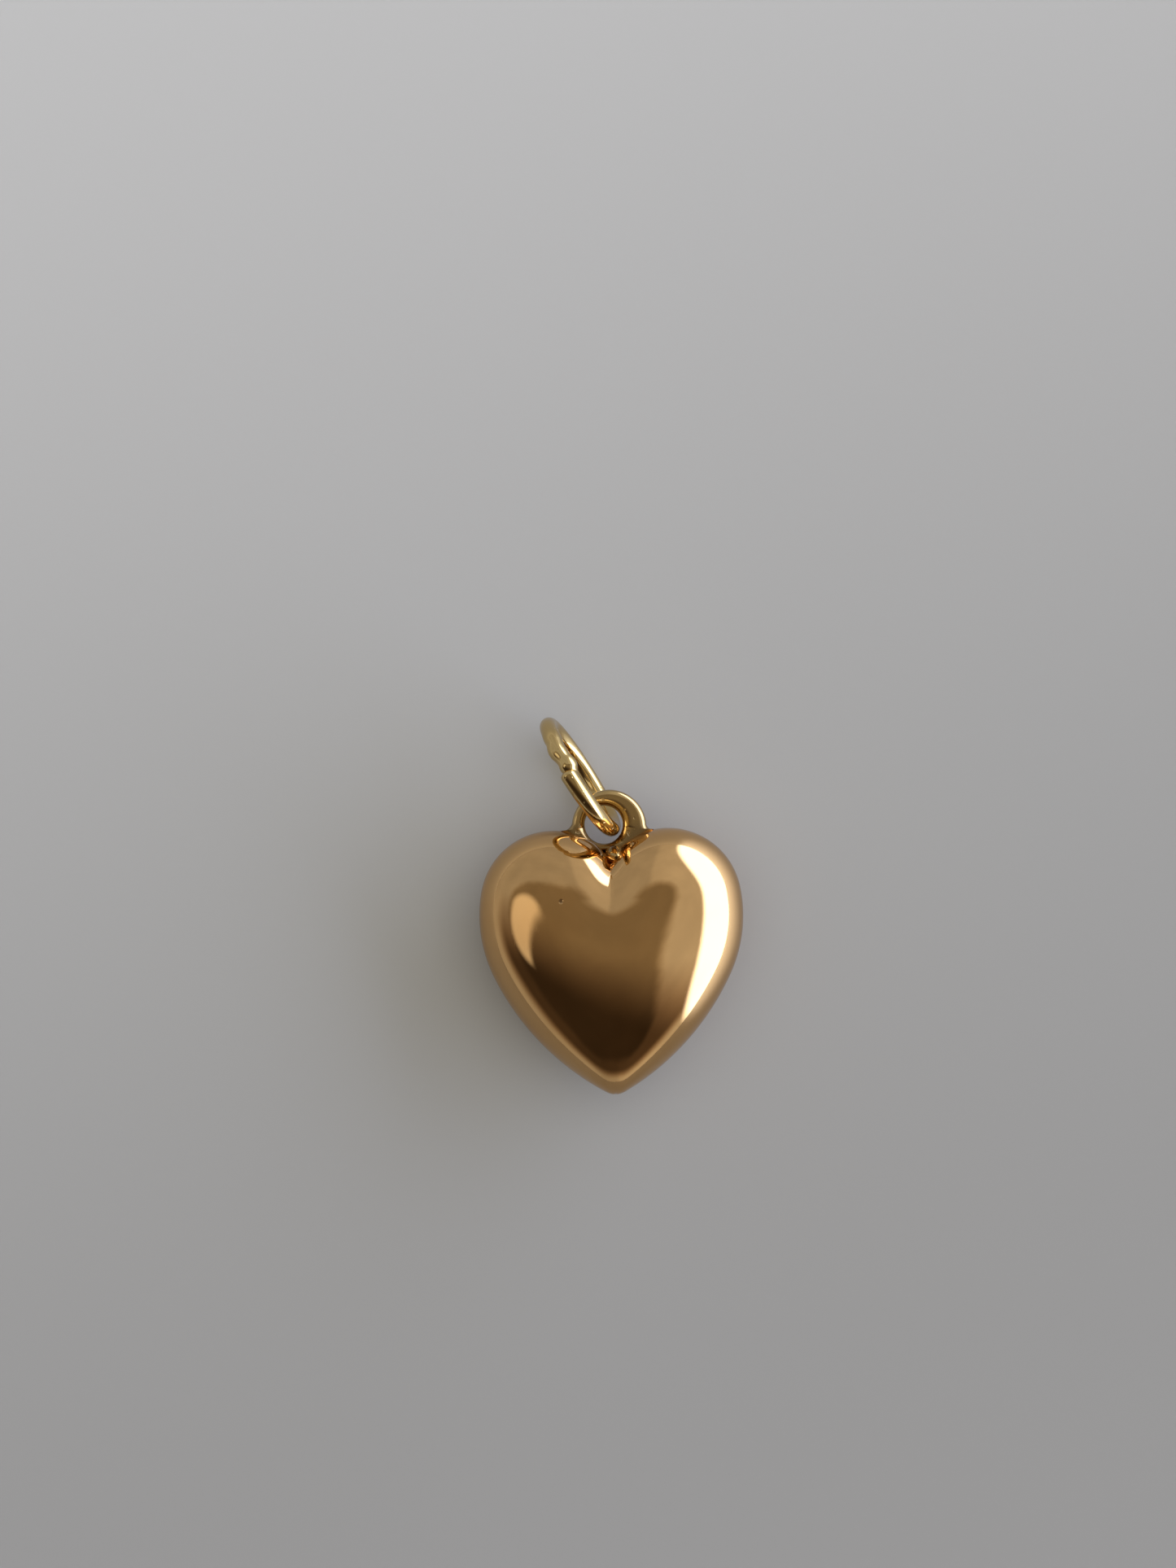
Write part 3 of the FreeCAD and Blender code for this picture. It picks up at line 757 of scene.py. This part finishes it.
# %% Put the pieces on their bodies
for piece, body, node, slot in ((front, "pendant", "front_shell", "rose_gold"),
                                (back, "pendant", "back_shell", "rose_gold"),
                                (eye, "pendant", "hanging_eye", "yellow_gold"),
                                (bead, "pendant", "eye_solder", "gold_solder"),
                                (ring, "ring", "jump_ring", "yellow_gold")):
    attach(piece, body)
    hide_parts(node)
    print(f"{piece.name} rides on {body} in place of {node}")

# %% [markdown]
# ## The table
# A pale, smooth table carries the pendant. It is a flat plane far larger than the view, painted
# darker on the near side as shade, and slightly glossy, so that the gold has something even to
# mirror along its rim. What mirrors see of it is drawn a fifth darker than what the camera sees,
# because the rim would be too bright beside it otherwise.

# %% Lay the table
TABLE_HALF_SIZE = 1.5
TABLE_NEAR_SHADED_COLOUR = (0.32, 0.317, 0.315, 1)
TABLE_FAR_COLOUR = (0.62, 0.62, 0.62, 1)
MIRRORED_DARKER = 0.22
BLACK = (0.0, 0.0, 0.0, 1)


def table_top():
    """The pale floor."""
    size = TABLE_HALF_SIZE
    corners = [(-size, -size, 0), (size, -size, 0), (size, size, 0), (-size, size, 0)]
    mesh = bpy.data.meshes.new("table_top")
    mesh.from_pydata(corners, [], [(0, 1, 2, 3)])
    made = bpy.data.objects.new("table_top", mesh)
    scene.collection.objects.link(made)
    material = bpy.data.materials.new("pale_table")
    material.use_nodes = True
    material.node_tree.nodes.clear()
    recipe = Recipe(material.node_tree)
    place = recipe.out("ShaderNodeTexCoord", output="Object")
    x, y, z = recipe.parts(place)
    # Painted shade: the table's colour is drawn darker towards the near side.
    far = recipe.smooth(y + x*-0.25, -0.03, 0.09)
    tone = recipe.blend(far, TABLE_NEAR_SHADED_COLOUR, TABLE_FAR_COLOUR)
    mirrored = recipe.out("ShaderNodeLightPath", output="Is Glossy Ray")
    tone = recipe.blend(mirrored*MIRRORED_DARKER, tone, BLACK)
    paint = recipe.out("ShaderNodeBsdfPrincipled", inputs={
        "Base Color": tone, "Roughness": 0.35, "Specular IOR Level": 0.5})
    recipe.node("ShaderNodeOutputMaterial", inputs={"Surface": paint})
    mesh.materials.append(material)
    print(f"table_top: {2*size} m each way")


table_top()

# %% [markdown]
# ## The light
# Polished metal is lit by mirroring, so the whole room is drawn as light by direction. A plain room
# stands all round, lighter on the right and never quite even. A dark panel with a soft, uneven edge
# hangs overhead, and the near side is darker still, which gives the dome its light and dark parts.
# One large softbox with rounded corners stands low on the right: it draws the bright band along the
# right lobe and throws a soft shadow to the left. A faint second one, half behind a dark card,
# keeps the left side alive. The table gets most of its light from a wide lamp overhead that the
# gold doesn't mirror.

# %% Light the room
ROOM_LEVEL = 0.38
RIGHT_WALL_GAIN = 0.18
PANEL_LOSS = 0.15
NEAR_SIDE_LOSS = 0.85
ROOM_UNEVENNESS = 0.5
ROOM_COLOUR = (1.0, 0.99, 0.97, 1)
PANEL_COLOUR = (1.0, 0.86, 0.66, 1)
NEAR_SIDE_COLOUR = (1.0, 0.72, 0.52, 1)
PANEL_RIGHT, PANEL_BACK, PANEL_LOW = 0.2, 0.2, 0.7
PANEL_UNEVENNESS = 0.16
SOFTBOX_AZIMUTH = math.radians(15)
SOFTBOX_HALF_WIDTH = math.radians(57)
SOFTBOX_HALF_HEIGHT = math.radians(39)
SOFTBOX_COLOUR = (0.85, 0.96, 1.25, 1)
SOFTBOX_LEVEL = 3.2
LEFT_BOX_TOWARDS = (-0.70, -0.03, 0.71)
LEFT_BOX_COLOUR = (1.0, 0.97, 0.90, 1)
LEFT_BOX_LEVEL = 0.6
CARD_TOWARDS = (-0.33, -0.33, 0.88)
LAMP_COLOUR = (1.04, 1.0, 0.87)


def studio_room():
    """The room as light that depends only on the direction."""
    world = bpy.data.worlds.new("studio_room")
    scene.world = world
    world.use_nodes = True
    world.node_tree.nodes.clear()
    recipe = Recipe(world.node_tree)
    direction = recipe.out("ShaderNodeTexCoord", output="Generated")
    x, y, z = recipe.parts(direction)
    uneven = recipe.noise(direction, 2.4, 3.0) - 0.5
    azimuth = y.math("ARCTAN2", y, x)
    elevation = z.math("ARCSINE", z)
    over_table = recipe.smooth(elevation, math.radians(4), math.radians(20))
    beyond = recipe.out("ShaderNodeCombineXYZ", inputs={
        "X": x.math("MAXIMUM", x - PANEL_RIGHT, 0.0), "Y": y.math("MAXIMUM", y - PANEL_BACK, 0.0),
        "Z": z.math("MAXIMUM", PANEL_LOW - z, 0.0)})
    off_panel = recipe.distance(beyond, (0.0, 0.0, 0.0)) + uneven*PANEL_UNEVENNESS
    panel = 1 - recipe.smooth(off_panel, 0.16, 0.29)
    right_wall = (recipe.smooth(x, 0.0, 0.10)*0.5 + recipe.smooth(x, -0.2, 0.6)*0.5)*(1 - panel)
    near_side = recipe.smooth(y*-1 + x*-0.3, 0.0, 0.6)*over_table
    room = ROOM_LEVEL + right_wall*RIGHT_WALL_GAIN - panel*PANEL_LOSS
    room = room*(1 - near_side*NEAR_SIDE_LOSS)*(1 + uneven*ROOM_UNEVENNESS)
    across = (azimuth - SOFTBOX_AZIMUTH)/SOFTBOX_HALF_WIDTH
    up = elevation/SOFTBOX_HALF_HEIGHT
    softbox = 1 - recipe.smooth(across.math("ABSOLUTE", across)**3 + up**2, 0.80, 1.12)

    def facing(axis):
        """How far each direction points this way: 1 is straight along the axis."""
        return x*axis[0] + y*axis[1] + z*axis[2]

    card = recipe.smooth(facing(CARD_TOWARDS), 0.865, 0.905)
    left_box = recipe.smooth(facing(LEFT_BOX_TOWARDS), 0.945, 0.975)*(1 - card)
    tone = recipe.blend(panel, ROOM_COLOUR, PANEL_COLOUR)
    tone = recipe.blend(near_side, tone, NEAR_SIDE_COLOUR)
    parts = [recipe.out("ShaderNodeBackground", inputs={"Color": colour, "Strength": level})
             for colour, level in ((tone, room), (SOFTBOX_COLOUR, softbox*SOFTBOX_LEVEL),
                                   (LEFT_BOX_COLOUR, left_box*LEFT_BOX_LEVEL))]
    light = recipe.out("ShaderNodeAddShader", inputs={0: parts[0], 1: parts[1]})
    light = recipe.out("ShaderNodeAddShader", inputs={0: light, 1: parts[2]})
    recipe.node("ShaderNodeOutputWorld", inputs={"Surface": light})
    print(f"studio_room: {len(world.node_tree.nodes)} nodes")


def table_lamp(height, size, level):
    """A wide lamp straight over the table, this bright, which the gold doesn't mirror."""
    data = bpy.data.lights.new("table_lamp", "AREA")
    data.shape = "SQUARE"
    data.size = size
    data.energy = level*math.pi*size**2
    data.color = LAMP_COLOUR
    lamp = bpy.data.objects.new("table_lamp", data)
    lamp.location = (0, 0, height)
    lamp.visible_camera = False
    lamp.visible_glossy = False
    scene.collection.objects.link(lamp)
    print(f"table_lamp: {data.energy:.2f} W")


studio_room()
table_lamp(height=0.7, size=1.0, level=1.0)

# %% [markdown]
# ## The camera
# The view is straight down, from nearly 12 cm over the pendant. The heart leans a degree and a half
# to the left in the picture, so the camera is turned by that much.

# %% Set the camera
VIEW_HEIGHT = 115.7
VIEW_OVER = (-0.948, 5.652)
HEART_LEAN = 0.0249
FOCAL_PIXELS = 3000
PICTURE_HEIGHT = 1927
SENSOR = 36.0


def camera_over_heart():
    """The camera of the main view."""
    data = bpy.data.cameras.new("view_from_above")
    data.sensor_fit = "VERTICAL"
    data.sensor_height = SENSOR
    data.lens = SENSOR*FOCAL_PIXELS/PICTURE_HEIGHT
    data.clip_start = 0.001
    data.clip_end = 10
    camera = bpy.data.objects.new("view_from_above", data)
    camera.location = to_row([(*VIEW_OVER, VIEW_HEIGHT)])[0]
    camera.rotation_euler = (0, 0, -math.atan(HEART_LEAN))
    scene.collection.objects.link(camera)
    scene.camera = camera
    print(f"{camera.name}: lens {data.lens:.1f} mm")


camera_over_heart()
scene.view_settings.view_transform = "Standard"
